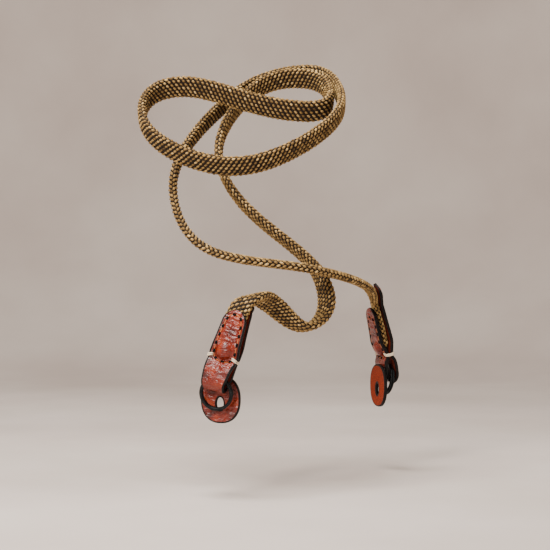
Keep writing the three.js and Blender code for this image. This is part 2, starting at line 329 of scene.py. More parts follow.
def makeGrainLeather():
    # vegetable-tanned cowhide, hand waxed: red-brown, fine pebbled grain, glossy where light falls
    finish, tree, shader = newFinish("waxed red-brown leather", {
        "IOR": 1.5,
        "Coat Weight": 0.7,
        "Coat Roughness": 0.28,
        "Specular IOR Level": 0.14,
    })
    spot = addNode(tree, "TexCoord").outputs["Object"]
    level = addNode(tree, "Mapping", {"Scale": hide["creaseScale"]}, {"Vector": spot})
    pebbles = addNode(
        tree,
        "TexVoronoi",
        {"feature": "DISTANCE_TO_EDGE", "Scale": 1000 / hide["grainWidth"]},
        {"Vector": spot},
    )
    pores = addNode(
        tree,
        "TexNoise",
        {"Scale": 1000 / hide["poreWidth"], "Detail": 4.0, "Roughness": 0.6},
        {"Vector": spot},
    )
    creases = addNode(
        tree,
        "TexNoise",
        {"Scale": 1000 / hide["creaseWidth"], "Detail": 1.5, "Distortion": 1.0},
        {"Vector": level.outputs["Vector"]},
    )
    clouds = addNode(
        tree, "TexNoise", {"Scale": 1000 / hide["cloudWidth"], "Detail": 3.0}, {"Vector": spot}
    )
    mixed = addNode(
        tree,
        "Math",
        {"operation": "MULTIPLY_ADD", 1: hide["poreTone"]},
        {0: pores.outputs["Fac"], 2: clouds.outputs["Fac"]},
    )
    waxed = addNode(tree, "ValToRGB", {"stops": hide["waxed"]}, {"Fac": mixed.outputs[0]})
    # pull-up: the wax parts where the hide is bent hard, and the colour there turns to orange brown
    stretch = addNode(tree, "Attribute", {"attribute_name": "tone"})
    pulled = addNode(
        tree,
        "Mix",
        {"data_type": "RGBA", 7: colour(hide["pulled"])},
        {0: stretch.outputs["Fac"], 6: waxed.outputs["Color"]},
    )
    gloss = addNode(
        tree,
        "MapRange",
        {"From Min": 0.3, "From Max": 0.7, "To Min": 0.28, "To Max": 0.5},
        {"Value": creases.outputs["Fac"]},
    )
    grooves = addNode(
        tree, "MapRange", {"From Min": 0.0, "From Max": 0.12}, {"Value": pebbles.outputs["Distance"]}
    )
    coarse = addNode(
        tree,
        "Bump",
        {"Strength": 0.8, "Distance": hide["creaseHeight"] * mm},
        {"Height": creases.outputs["Fac"]},
    )
    bump = addNode(
        tree,
        "Bump",
        {"Strength": 0.8, "Distance": hide["grainHeight"] * mm},
        {"Height": grooves.outputs["Result"], "Normal": coarse.outputs["Normal"]},
    )
    link(tree, shader, {
        "Base Color": pulled.outputs[2],
        "Roughness": gloss.outputs["Result"],
        "Normal": bump.outputs["Normal"],
        "Coat Normal": coarse.outputs["Normal"],
    })
    return finish


threads = {
    "black": ("030303", "0C0A0B"),
    "cream": ("C9B48F", "F0E3CC"),
    "rust": ("8E4A22", "C9743C"),
    "plyHeight": 0.12,  # millimetres
}


def makeThread(name, shades, roughness, gloss):
    # waxed twisted thread: two plies show as slanted bands round each stitch
    finish, tree, shader = newFinish(name, {
        "Roughness": roughness,
        "Specular IOR Level": gloss,
        "IOR": 1.5,
    })
    place = addNode(tree, "UVMap", {"uv_map": "UVMap"})
    slanted = addNode(tree, "Mapping", {"Scale": (5.0, 2.0, 1)}, {"Vector": place.outputs["UV"]})
    plies = addNode(
        tree,
        "TexWave",
        {"bands_direction": "DIAGONAL", "Scale": 1.0, "Distortion": 0.4},
        {"Vector": slanted.outputs["Vector"]},
    )
    stops = [(0.0, shades[0]), (0.6, shades[1])]
    twisted = addNode(tree, "ValToRGB", {"stops": stops}, {"Fac": plies.outputs["Fac"]})
    bump = addNode(
        tree,
        "Bump",
        {"Strength": 0.6, "Distance": threads["plyHeight"] * mm},
        {"Height": plies.outputs["Fac"]},
    )
    link(tree, shader, {"Base Color": twisted.outputs["Color"], "Normal": bump.outputs["Normal"]})
    return finish


steel = {"stops": [(0.35, "141618"), (0.7, "26292B")], "wearWidth": 1.5, "gloss": (0.28, 0.48)}

grainLeather = makeGrainLeather()
# the same hide's inner side, sueded: lighter orange-brown, matt and fibrous; the tabs' copy is painted
# darker, standing for the shade between the panels and the rope
sueded = {"Roughness": 0.8, "Specular IOR Level": 0.25, "IOR": 1.5}
nap = (hide["napHeight"], 0.5)
shadedTabFlesh = makeMottled("sueded tab back in painted shade", sueded, 1000 / hide["napWidth"], 4.0, hide["shadedTabNap"], nap)
padFlesh = makeMottled("sueded pad back", sueded, 1000 / hide["napWidth"], 4.0, hide["padNap"], nap)
# edge paint on cut leather: black acrylic in several coats, rounded and half glossy
acrylic = {"Roughness": 0.5, "Specular IOR Level": 0.18, "IOR": 1.49}
coats = (hide["paintHeight"], 0.4)
edgePaint = makeMottled("black edge paint", acrylic, 1000 / hide["paintWidth"], 2.0, hide["paint"], coats)
blackThread = makeThread("black waxed thread", threads["black"], 0.8, 0.15)
creamThread = makeThread("cream waxed thread", threads["cream"], 0.6, 0.5)
orangeThread = makeThread("rust waxed thread", threads["rust"], 0.55, 0.5)
# split ring of spring steel, blackened and lacquered: dark satin with a soft grey highlight
wear = 1000 / steel["wearWidth"]
blackSteel = makeMottled(
    "black satin steel", {"Metallic": 0.85}, wear, 4.0, steel["stops"], gloss=steel["gloss"]
)
print("finishes made")

# the route, in millimetres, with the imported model's own points
faceTurn = 27.1  # degrees from the line of seats
ends = {  # by end: its place and lean, then what the scene sets
    "left": {
        "seatX": 0, "mirror": 1, "panelSide": -1,
        "waistUp": 28, "waistAcross": 3.5, "waistIn": 0.5,
        "leanAcross": 14.5, "leanIn": 12,
        "axisPoints": [8.5, 19, 31],  # the route's points on the tab's axis, from the waist up
        "eyeSwing": 1.2,  # degrees that the fold turns under the waist
        "tipUp": 27.2,  # the short panel's tip, over the waist
        "creep": 1,  # share of the panels' slip along their own edges
        "padFront": -3.1,
    },
    "right": {
        "seatX": 146, "mirror": -1, "panelSide": 1,
        "waistUp": 24.7, "waistAcross": 0, "waistIn": 0.1,
        "leanAcross": -1, "leanIn": 12,
        "axisPoints": [40, 30, 19, 8.5],
        "eyeSwing": -1, "tipUp": 30.2, "creep": 0, "padFront": -3.4,
    },
}
freeRoute = np.array([  # x, y, z and the direction of the rope's edge
    [21.5, -7.5, 62, 0.2, -0.95, 0.2], [37, -2.5, 60, 0.05, -0.8, 0.6], [50.5, -4, 50, -0.1, -0.8, 0.6],
    [60, -12, 40, -0.55, -0.8, 0.1], [78, -14.5, 52, -0.05, -1, 0], [85, -3, 71, -0.3, -0.95, 0.1],
    [83, 10, 86, -0.55, -0.8, 0.2], [63.5, 37, 109.5, -0.55, -0.8, 0.2], [54, 54, 134.5, -0.65, -0.75, 0],
    [62, 65, 159, -0.8, -0.6, 0], [93.5, 68.5, 190, -0.8, -0.35, 0.5], [111, 57, 199.5, -0.45, -0.4, 0.8],
    [122, 34.5, 198, -0.4, -0.35, 0.85], [115.5, 17, 186.5, -0.35, -0.5, 0.8],
    [97, 2.5, 169.5, -0.4, -0.35, 0.85], [70.5, 38.5, 175.5, -0.35, -0.35, 0.87],
    [53.5, 74.5, 192, -0.35, -0.35, 0.87], [34.5, 93, 187.5, -0.45, -0.4, 0.8],
    [15, 84, 171, -0.45, -0.4, 0.8], [8.5, 63.5, 151, -0.5, -0.45, 0.75],
    [28.5, 31, 134.5, -0.5, -0.5, 0.7], [49.5, 4.5, 138, -0.5, -0.5, 0.7],
    [99.5, -7.5, 166.5, -0.5, -0.5, 0.7], [122.5, 15.5, 189, -0.45, -0.4, 0.8],
    [135, 44, 205, -0.45, -0.4, 0.8], [113.5, 71, 200.5, -0.6, -0.4, 0.7],
    [90.5, 79, 188.5, -0.9, -0.4, 0.2], [32.5, 69, 147.5, -0.8, -0.6, 0],
    [19, 60.5, 118.5, -0.65, -0.75, 0], [16, 34, 83.5, -0.65, -0.75, 0], [43, -19, 80, -0.75, -0.7, 0],
    [104.5, -15.5, 70.5, -0.75, -0.66, 0],
])
routeSteps = 24  # from one of the route's points to the next
past = 12.0  # how far the tables go straight on past both ends


def endFrame(end):
    # outward and across lie level, turned faceTurn from the line of seats; the axis leans from upright
    turn, lean, tip = np.radians([faceTurn, end["leanAcross"], end["leanIn"]])
    outward = np.array([-end["mirror"] * np.cos(turn), -np.sin(turn), 0])
    across = np.array([end["mirror"] * np.sin(turn), -np.cos(turn), 0])
    upward = np.array([0, 0, 1.0])
    axis = np.cos(tip) * (np.sin(lean) * across + np.cos(lean) * upward) - np.sin(tip) * outward
    edge = madeSquare(across, axis)
    seat = np.array([end["seatX"], 0, 0])
    waist = seat - end["waistIn"] * outward + end["waistAcross"] * across + end["waistUp"] * upward
    return {"axis": axis, "edge": edge, "front": np.cross(edge, axis), "waist": waist, "outward": outward}


def spline(points, perSpan):
    # uniform cubic B-spline, four neighbours weighted by the cubic basis; a mirrored point beyond each
    # end makes it start and stop on the end points
    p = np.vstack([2 * points[0] - points[1], points, 2 * points[-1] - points[-2]])
    steps = np.arange((len(points) - 1) * perSpan + 1)
    k = np.minimum(steps // perSpan, len(points) - 2)
    u = (steps / perSpan - k)[:, None]
    return (
        (1 - u) ** 3 * p[k]
        + (3 * u**3 - 6 * u**2 + 4) * p[k + 1]
        + (-3 * u**3 + 3 * u**2 + 3 * u + 1) * p[k + 2]
        + u**3 * p[k + 3]
    ) / 6


frames = {side: endFrame(end) for side, end in ends.items()}
onAxis = {
    side: np.array([frames[side]["waist"] + up * frames[side]["axis"] for up in end["axisPoints"]])
    for side, end in ends.items()
}
onEdge = {side: np.tile(frames[side]["edge"], (len(ends[side]["axisPoints"]), 1)) for side in ends}
onEdge["right"][:2, :2] = [[-0.76, -0.65], [-0.66, -0.75]]  # here the rope is still turning into the tab
middle = spline(np.vstack([onAxis["left"], freeRoute[:, :3], onAxis["right"]]), routeSteps)
edges = spline(np.vstack([onEdge["left"], unit(freeRoute[:, 3:]), onEdge["right"]]), routeSteps)
before = np.vstack([middle[:1], middle[:-1]])
after = np.vstack([middle[1:], middle[-1:]])
tangents = unit(after - before)
edges = madeSquare(edges, tangents)
faceWays = np.cross(edges, tangents)
travelled = runOf(middle)
runLength = travelled[-1]
print(f"route {runLength:.1f} mm")
travelled = np.concatenate([[-past], travelled, [runLength + past]])
middle = np.vstack([middle[0] - past * tangents[0], middle, middle[-1] + past * tangents[-1]])
tangents, edges, faceWays = (
    np.vstack([table[:1], table, table[-1:]]) for table in (tangents, edges, faceWays)
)

# the rope, in millimetres
rope = {
    "width": 13.6,
    "thickness": 5.2,
    "heldWidth": 12.8,  # between a tab's panels
    "heldThickness": 4.2,
    "heldTo": 22,
    "freeFrom": 34,
    "squareness": 3,
    "coreBelow": 0.62,  # the core's skin lies this far under the braid's
    "coreShort": 0.5,  # the core stops this far before the stub's end
    "coreRings": 900,
    "coreSides": 28,
    "pinchFrom": 0.5,  # the flattening starts this far before the route's end
    "stub": 7.0,  # the rope's flattened end, on into the closing tab
    "stubThickness": 1.6,
    "columns": 14,  # floats round the rope
    "rimColumns": [0, 6, 7, 13],
    "pitch": 3.0,  # along the rope, from one tan float to the next in a column
    "braidShort": 1.5,  # the braid stops this far before the stub's end
    "tan": {"length": 2.7, "width": 1.32, "height": 1.15, "slant": 42, "lift": -0.45},
    "rimTan": {"length": 3.1, "width": 1.45, "height": 1.25, "slant": 42, "lift": -0.48},
    "dark": {"length": 2.8, "width": 1.1, "height": 0.85, "slant": 45, "lift": -0.72},
}


def ropeSize(s):
    # width and thickness at distance s: held in the tabs, free between them, flat at the stubs
    fromEnd = np.minimum(s, runLength - s)
    free = smoothStep(rope["heldTo"], rope["freeFrom"], fromEnd)
    width = rope["heldWidth"] + free * (rope["width"] - rope["heldWidth"])
    thickness = rope["heldThickness"] + free * (rope["thickness"] - rope["heldThickness"])
    pinch = smoothStep(rope["pinchFrom"], -rope["stub"], fromEnd)
    return width, thickness + pinch * (rope["stubThickness"] - thickness)


# distance round the section at every half degree, for reading an angle from a share of the whole
ringAngles = np.linspace(0, 2 * np.pi, 721)
ringX, ringY = superellipse(ringAngles, rope["squareness"])
ringRun = runOf(np.stack([ringX * rope["width"] / 2, ringY * rope["thickness"] / 2], axis=-1))
girth = ringRun[-1]


def ropeSkin(s, share, lift):
    # a point on the skin at distance s and a share of the way round, raised by lift: the section is a
    # superellipse across the edge and face directions, and out is its gradient (x^(n-1) / width,
    # y^(n-1) / thickness); returns the point, the way along the rope, round it and out
    angle = np.interp(np.mod(share, 1), ringRun / girth, ringAngles)
    x, y = superellipse(angle, rope["squareness"])
    width, thickness = ropeSize(s)
    centre, e, f, t = (along(travelled, table, s) for table in (middle, edges, faceWays, tangents))
    gx = np.sign(x) * np.abs(x) ** (rope["squareness"] - 1) / width
    gy = np.sign(y) * np.abs(y) ** (rope["squareness"] - 1) / thickness
    size = np.hypot(gx, gy)
    out = (gx / size)[..., None] * e + (gy / size)[..., None] * f
    skin = centre + (x * width / 2)[..., None] * e + (y * thickness / 2)[..., None] * f
    return skin + lift[..., None] * out, t, np.cross(out, t), out


def makeCore():
    # the route's section, drawn in by coreBelow, carried from end to end
    reach = rope["stub"] - rope["coreShort"]
    s, share = np.meshgrid(
        np.linspace(-reach, runLength + reach, rope["coreRings"]),
        np.arange(rope["coreSides"]) / rope["coreSides"],
        indexing="ij",
    )
    grid = ropeSkin(s, share, np.full(s.shape, -rope["coreBelow"]))[0]
    return tubes("rope_core", grid[None], [shadedCoreCloth])


floatForm = {  # the first four lists hold a float's five rings, from tip to tip
    "place": np.array([-1.0, -0.62, 0.0, 0.62, 1.0]),  # in halves of its length
    "narrow": np.array([0.16, 0.82, 1.06, 0.82, 0.16]),  # share of its width
    "dive": np.array([-0.45, -0.08, 0.04, -0.08, -0.45]),
    "shade": np.array([0.28, 0.06, 0.0, 0.06, 0.28]),  # painted shade: the tips, tucked under their neighbours, are coloured darker
    "sides": 6,
    "lengthSpread": 0.04,
    "liftSpread": 0.05,
    "tone": 0.45,
    "toneSpread": 0.14,
}


def makeFloats(name, shape, s, share, flip, finish):
    # floats of yarn, spindles that run slantwise over the skin and dive into it at both tips: a float's
    # line is s + u cos(slant), share + u sin(slant) for u from -1 to 1 times half its length, and its
    # section is an ellipse, narrowed towards the tips
    slant = np.radians(shape["slant"]) * flip
    half = shape["length"] / 2 * seeded.normal(1, floatForm["lengthSpread"], len(s))
    ds = floatForm["place"] * (half * np.cos(slant))[:, None]
    dp = floatForm["place"] * (half * np.sin(slant))[:, None] / girth
    lift = shape["lift"] + floatForm["dive"] + seeded.normal(0, floatForm["liftSpread"], len(s))[:, None]
    where, t, q, out = ropeSkin(s[:, None] + ds, share[:, None] + dp, lift)
    across = np.cos(slant)[:, None, None] * q - np.sin(slant)[:, None, None] * t
    outline = roundOutline(shape["width"], shape["height"], floatForm["sides"])
    grid = sweep(where, across, out, outline, np.tile(floatForm["narrow"], (len(s), 1)))
    # each float's tone drifts at random, and the painted shade takes more off towards its tips
    drift = seeded.normal(floatForm["tone"], floatForm["toneSpread"], len(s))[:, None]
    return tubes(name, grid, [finish], tone=np.clip(drift - floatForm["shade"], 0, 1).reshape(-1))


def makeBraid():
    # tan and dark floats share each column in turn, and each column is half a pitch on from the last
    rows = int((runLength + 2 * rope["stub"] - 2 * rope["braidShort"]) / rope["pitch"])
    row, column = np.meshgrid(np.arange(rows), np.arange(rope["columns"]), indexing="ij")
    row, column = row.reshape(-1), column.reshape(-1)
    s = rope["braidShort"] - rope["stub"] + (row + 0.5 * (column % 2)) * rope["pitch"]
    share = (column + 0.5) / rope["columns"]
    onRim = np.isin(column, rope["rimColumns"])
    # the floats of both faces lean the same way, so the rims show a V
    flip = np.where(column < rope["columns"] / 2, -1.0, 1.0)
    pieces = []
    for part, here in (("left", s < runLength / 2), ("right", s >= runLength / 2)):
        for name, shape, chosen, shift, finish in (
            ("tan", rope["tan"], here & ~onRim, 0, tanYarn),
            ("rim", rope["rimTan"], here & onRim, 0, tanYarn),
            ("dark", rope["dark"], here, rope["pitch"] / 2, darkYarn),
        ):
            place = s[chosen] + shift
            pieces.append(
                makeFloats(f"braid_{name}_{part}", shape, place, share[chosen], flip[chosen], finish)
            )
    return pieces


core = makeCore()
braid = makeBraid()
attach(core, "root")
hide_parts("strap")
for piece in braid:
    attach(piece, "root")
print("rope made:", sum(len(p.data.polygons) for p in braid), "faces of braid")

# the leather tabs, in millimetres
leather = {
    "thickness": 2.0,
    "edgeRound": 0.55,
    "gap": 0.4,  # between the rope and the long panel
    "longCreep": 0.8,  # the long panel's slip along its edge
    "perSpan": 30,  # steps of the middle line from one row to the next
    "step": 0.42,  # from ring to ring along the strip
    "tipStart": 0.105,  # the first ring's distance from the tip
    "crowding": 0.028,  # how much closer the rings stand at the tips
    "skived": 0.55,  # the tip's share of the thickness, as the leather is pared there
    "skivedTo": 2.0,
    "leastFlat": 0.3,  # the flat part's least share of the half width
    "facePoints": 31,
    "backPoints": 13,
    "rimFade": 1.2,  # relief dies out over these distances from the edge and the tip
    "tipFade": 3,
    "groove": 0.35,
    "grooveSpread": 0.55,
    "puff": 0.3,
    "puffFrom": (8, 11),  # heights over the waist
    "folds": 0.2,
    "foldsFrom": (9.5, 12),
    "foldWaves": (2.3, 0.8, 0.5, 3.7, 0.6, 0),
    "insideFade": 2.2,
    "insideFrom": (1.5, 6),
    "creases": 0.035,
    "creasesFrom": (3, -3),
    "creaseWaves": (2.1, 0.55, 0.6, 3.7, -0.35, 1.3),
    "paleFrom": (-12, -18),
}
tabFold = np.array([  # out, up, width, and how far the panel has crept along its own edge
    [3.6, 27.2, 13, 1.1], [3.5, 22, 14, 1.1], [3.5, 14, 15.1, 1.0], [3.5, 7.5, 16.2, 0.9],
    [2.1, 2.4, 17.4, 0.6], [1.35, -1, 17.3, 0.3], [3, -4.6, 16.2, -0.1], [3.45, -10, 15.2, -0.5],
    [2.7, -15.6, 13.6, -0.6], [0, -17.7, 12.6, 0], [-2.7, -15.6, 13, 0], [-3.45, -10, 14.6, 0],
    [-3, -4.6, 15.6, 0], [-1.35, -1, 16.7, 0.3], [-2.1, 2.4, 16.9, 0.6], [-3.5, 7.5, 15.8, 0.8],
    [-3.5, 14, 14.7, 0.8],
])
foldBottom = 9  # the row at the bottom of the fold
longPanel = {  # along the rope, width, lift
    "left": np.array([[17, 13, 0.1], [20.5, 12.6, 0.15], [24, 12, 0.2], [27, 11.6, 0.25], [30, 11.2, 0.3]]),
    "right": np.array([[17, 13, 0.1], [23, 12.4, 0.25], [28, 12, 0.55], [32, 11.4, 0.8], [35.3, 10.4, 1.3]])
}


def turned(vector, axis, degrees):
    # a vector turned round a unit axis: v cos a + (axis x v) sin a + axis (axis . v)(1 - cos a)
    a = math.radians(degrees)
    square = np.cross(axis, vector)
    return vector * math.cos(a) + square * math.sin(a) + axis * np.dot(axis, vector) * (1 - math.cos(a))


def tabRows(side):
    # the fold's rows stand on the tab's axis, and the long panel's rows lie on the rope's face
    end, f = ends[side], frames[side]
    points, rowEdges = [], []
    for out, up, _, creep in tabFold:
        swing = end["eyeSwing"] if up < 0 else 0
        axis = turned(f["axis"], f["front"], swing)
        edge = turned(f["edge"], f["front"], swing)
        up = end["tipUp"] if up == tabFold[0, 1] else up
        points.append(f["waist"] + up * axis + out * f["front"] + end["creep"] * creep * edge)
        rowEdges.append(edge)
    panel = longPanel[side]
    s = panel[:, 0] if end["panelSide"] < 0 else runLength - panel[:, 0]
    off = ropeSize(s)[1] / 2 + leather["gap"] + leather["thickness"] / 2 + panel[:, 2]
    edge = along(travelled, edges, s)
    back = along(travelled, middle, s) + (end["panelSide"] * off)[:, None] * along(travelled, faceWays, s)
    back += end["creep"] * leather["longCreep"] * edge
    widths = np.concatenate([tabFold[:, 2], panel[:, 1]])
    return np.vstack([points, back]), np.vstack([rowEdges, edge]), widths


def catmullRom(points, perSpan):
    # centripetal Catmull-Rom curve: the knots stand apart by the square root of each chord
    p = np.vstack([2 * points[0] - points[1], points, 2 * points[-1] - points[-2]])
    gaps = np.sqrt(np.linalg.norm(np.diff(p, axis=0), axis=1))
    steps = np.arange((len(points) - 1) * perSpan + 1)
    k = np.minimum(steps // perSpan, len(points) - 2)
    u = (steps / perSpan - k)[:, None]
    d0, d1, d2 = gaps[k][:, None], gaps[k + 1][:, None], gaps[k + 2][:, None]
    m1 = ((p[k + 1] - p[k]) / d0 - (p[k + 2] - p[k]) / (d0 + d1) + (p[k + 2] - p[k + 1]) / d1) * d1
    m2 = ((p[k + 2] - p[k + 1]) / d1 - (p[k + 3] - p[k + 1]) / (d1 + d2) + (p[k + 3] - p[k + 2]) / d2) * d1
    a, b = p[k + 1], p[k + 2]
    cubic = a + m1 * u + (-3 * a + 3 * b - 2 * m1 - m2) * u**2 + (2 * a - 2 * b + m1 + m2) * u**3
    return cubic, steps / perSpan


def stripFrame(side):
    # the strip's middle line by distance, with its edge and outer directions, width and height
    points, rowEdges, widths = tabRows(side)
    line, place = catmullRom(points, leather["perSpan"])
    run = runOf(line)
    tangent = unit(np.gradient(line, axis=0))
    index = np.arange(len(points))
    edge = madeSquare(along(index, rowEdges, place), tangent)
    return {
        "run": run,
        "line": line,
        "edge": edge,
        "outer": np.cross(tangent, edge),
        "width": np.interp(place, index, widths),
        "height": (line - frames[side]["waist"]) @ frames[side]["axis"],
        "turn": float(np.interp(foldBottom, place, run)),
    }


stitching = {
    "low": -2.6,  # heights over the waist that the line runs between
    "high": 24.4,
    "inset": 2.05,
    "squareness": 3.2,
    "steps": 241,
    "count": 14,
    "length": 2.6,
    "thread": 1.6,
    "height": 1.2,
    "rise": 0.16,
    "sink": 0.55,  # of a stitch's ends, into the leather
    "narrow": [0.55, 0.85, 1, 1, 1, 0.85, 0.55],
    "sides": 8,
    "linkThread": 0.6,
    "linkRise": 0.05,
    "linkSides": 6,
}


def stitchPath(strip, front):
    # the closed stitch line of a panel: a superellipse in height, as wide as the panel less the inset;
    # returns distance along the strip and place across it
    x, y = superellipse(np.linspace(0, 2 * np.pi, stitching["steps"]), stitching["squareness"])
    low, high = stitching["low"], stitching["high"]
    up = (low + high) / 2 + y * (high - low) / 2
    bottom = np.searchsorted(strip["run"], strip["turn"])
    panel = slice(0, bottom) if front else slice(bottom, None)
    heights, runs = strip["height"][panel], strip["run"][panel]
    order = np.argsort(heights)
    run = np.interp(up, heights[order], runs[order])
    width = np.interp(run, strip["run"], strip["width"])
    return run, x * (width / 2 - stitching["inset"])


dome = {  # over the waist, on the front panel
    "up": 3.6,
    "across": -0.3,
    "height": 2.3,
    "halfLength": 4.7,
    "halfWidth": 4.5,
    "fullness": 0.65,
    "rimDent": 0.4,
    "rimAt": 1.12,  # in the dome's own radii
    "rimSpread": 0.14,
}


def waves(height, across, shape):
    # sin(a h + 0.9 sin(b x)) + c sin(d h + e x + g), level waves up the strip that wander sideways
    a, b, c, d, e, g = shape
    return np.sin(height * a + 0.9 * np.sin(across * b)) + c * np.sin(height * d + across * e + g)


def relief(strip, run, across):
    # the outer face's rise: a dome (1 - r^2)^fullness over the rope's end with a dent round its foot, a
    # groove exp(-(distance / spread)^2) under the stitches, a puffed and folded middle, and creases
    # across the eye, where the strip is bent round the ring
    height = np.interp(run, strip["run"], strip["height"])
    width = np.interp(run, strip["run"], strip["width"])
    r = np.hypot((height - dome["up"]) / dome["halfLength"], (across - dome["across"]) / dome["halfWidth"])
    bulge = dome["height"] * (1 - np.clip(r, 0, 1) ** 2) ** dome["fullness"]
    bulge = bulge - dome["rimDent"] * np.exp(-(((r - dome["rimAt"]) / dome["rimSpread"]) ** 2))
    rise = np.where(run < strip["turn"], bulge, 0)
    for front in (True, False):
        pathRun, pathAcross = (path[None, :-1:2] for path in stitchPath(strip, front))
        far = np.hypot(run.reshape(-1, 1) - pathRun, across.reshape(-1, 1) - pathAcross).min(axis=1)
        rise = rise - leather["groove"] * np.exp(-((far.reshape(run.shape) / leather["grooveSpread"]) ** 2))
    inside = smoothStep(0, leather["insideFade"], width / 2 - stitching["inset"] - np.abs(across))
    inside = inside * smoothStep(*leather["insideFrom"], height)
    puff = leather["puff"] * smoothStep(*leather["puffFrom"], height)
    folds = leather["folds"] * smoothStep(*leather["foldsFrom"], height)
    folds = folds * waves(height, across, leather["foldWaves"])
    creases = leather["creases"] * smoothStep(*leather["creasesFrom"], height)
    return rise + inside * (puff + folds) + creases * waves(height, across, leather["creaseWaves"])


def makeTab(side):
    # the folded strip, a flat section with rounded edges carried along the strip's line; it runs over the
    # face, down one edge, over the back and up the other edge, and a half-round tip narrows it at both
    # ends by sqrt(1 - (1 - d / r)^2)
    strip = stripFrame(side)
    total, start = strip["run"][-1], leather["tipStart"]
    t = np.linspace(0, 1, int(total / leather["step"]) + 1)
    run = start + (total - 2 * start) * (t - leather["crowding"] * np.sin(2 * np.pi * t))
    line, edge, outer = (along(strip["run"], strip[key], run) for key in ("line", "edge", "outer"))
    fullWidth = np.interp(run, strip["run"], strip["width"])
    fromTip = np.minimum(run, total - run)
    reach = np.minimum(fromTip / (fullWidth / 2), 1)
    half = fullWidth / 2 * np.sqrt(1 - (1 - reach) ** 2)
    # the section in six runs: shares of the flat width, offset past it, and height
    r, thick = leather["edgeRound"], leather["thickness"] / 2
    bend = np.radians([30, 60, 90])
    out, up = r * np.sin(bend), thick - r + r * np.cos(bend)
    face, back = np.linspace(1, -1, leather["facePoints"]), np.linspace(-1, 1, leather["backPoints"])
    rim = np.ones(2 * len(bend))
    shares = np.concatenate([face, -rim, back, rim])
    offset = np.concatenate([0 * face, -out, -out[::-1], 0 * back, out, out[::-1]])
    high = np.concatenate([0 * face + thick, up, -up[::-1], 0 * back - thick, -up, up[::-1]])
    flat = np.maximum(half - r, half * leather["leastFlat"])
    squeeze = np.minimum(half / r, 1) * np.minimum((half - flat) / r, 1)
    across = shares * flat[:, None] + offset * squeeze[:, None]
    height = np.tile(high, (len(run), 1))
    top = high == thick
    lift = relief(strip, np.tile(run[:, None], (1, top.sum())), across[:, top])
    fade = smoothStep(0, leather["rimFade"], half[:, None] - np.abs(across[:, top]))
    height[:, top] += lift * fade * smoothStep(0, leather["tipFade"], fromTip)[:, None]
    pared = leather["skived"] + (1 - leather["skived"]) * smoothStep(0, leather["skivedTo"], fromTip)
    height *= pared[:, None]
    grid = line[:, None] + across[..., None] * edge[:, None] + height[..., None] * outer[:, None]
    # grain on the face but for its outermost strips, suede darkened as painted shade on the back, paint on
    # the rest
    pick = np.full(len(high), 2)
    pick[1 : len(face) - 2] = 0
    pick[len(face) + len(rim) : len(face) + len(rim) + len(back) - 1] = 1
    # where the strip is stretched round the ring its colour lightens
    stretch = smoothStep(*leather["paleFrom"], np.interp(run, strip["run"], strip["height"]))
    finishes = [grainLeather, shadedTabFlesh, edgePaint]
    return tubes(f"leather_{side}", grid[None], finishes, pick=pick, tone=stretch), strip


def stripPoint(strip, run, across, lift):
    # line + across * edge + lift * outer, all read at a distance along the strip
    line, edge, outer = (along(strip["run"], strip[key], run) for key in ("line", "edge", "outer"))
    return line + across[..., None] * edge + lift[..., None] * outer, outer


def makeStitches(side, strip):
    # short spindles along the stitch line, evenly spaced, their ends sunk into the leather
    grids = []
    u = np.linspace(-0.5, 0.5, len(stitching["narrow"]))
    for front in (True, False):
        run, across = stitchPath(strip, front)
        steps = runOf(np.stack([run, across], axis=-1))
        starts = (np.arange(stitching["count"]) + 0.5) / stitching["count"] * steps[-1]
        at = np.mod(starts[:, None] + u * stitching["length"], steps[-1])
        run, across = np.interp(at, steps, run), np.interp(at, steps, across)
        sink = stitching["sink"] * np.abs(2 * u) ** 3
        lift = leather["thickness"] / 2 + relief(strip, run, across) + stitching["rise"] - sink
        points, outer = stripPoint(strip, run, across, lift)
        tangent = unit(np.gradient(points, axis=1))
        sideways = np.cross(outer, tangent)
        outline = roundOutline(stitching["thread"], stitching["height"], stitching["sides"])
        narrow = np.tile(stitching["narrow"], (len(starts), 1))
        grids.append(sweep(points, sideways, np.cross(tangent, sideways), outline, narrow))
    return tubes(f"stitches_{side}", np.concatenate(grids), [blackThread])


def makeLinks(side, strip):
    # the fine thread that lies in the groove from stitch to stitch, one closed round on each panel
    grids = []
    for front in (True, False):
        run, across = (path[:-1] for path in stitchPath(strip, front))
        lift = leather["thickness"] / 2 + relief(strip, run, across) + stitching["linkRise"]
        points, outer = stripPoint(strip, run, across, lift)
        tangent = unit(np.roll(points, -1, axis=0) - np.roll(points, 1, axis=0))
        sideways = unit(np.cross(outer, tangent))
        outline = roundOutline(stitching["linkThread"], stitching["linkThread"], stitching["linkSides"])
        grids.append(sweep(points, sideways, np.cross(tangent, sideways), outline))
    return tubes(f"groove_thread_{side}", np.array(grids), [orangeThread], joined=True)


tack = {
    "thread": 0.95,
    "sides": 10,
    "ups": [0.0, 0.9],  # heights over the waist
    "reach": 2.5,  # in from the edge
    "slope": 0.35,
    "wrap": 112,  # degrees either side of the edge
    "squareness": 3.0,
    "steps": 25,
    "edgeGap": 0.2,
    "faceGap": 0.28,
    "tail": 0.2,  # share of the reach that the ends run on inwards
    "sink": 0.9,  # of the ends, into the leather
    "sinkFrom": 0.05,
}


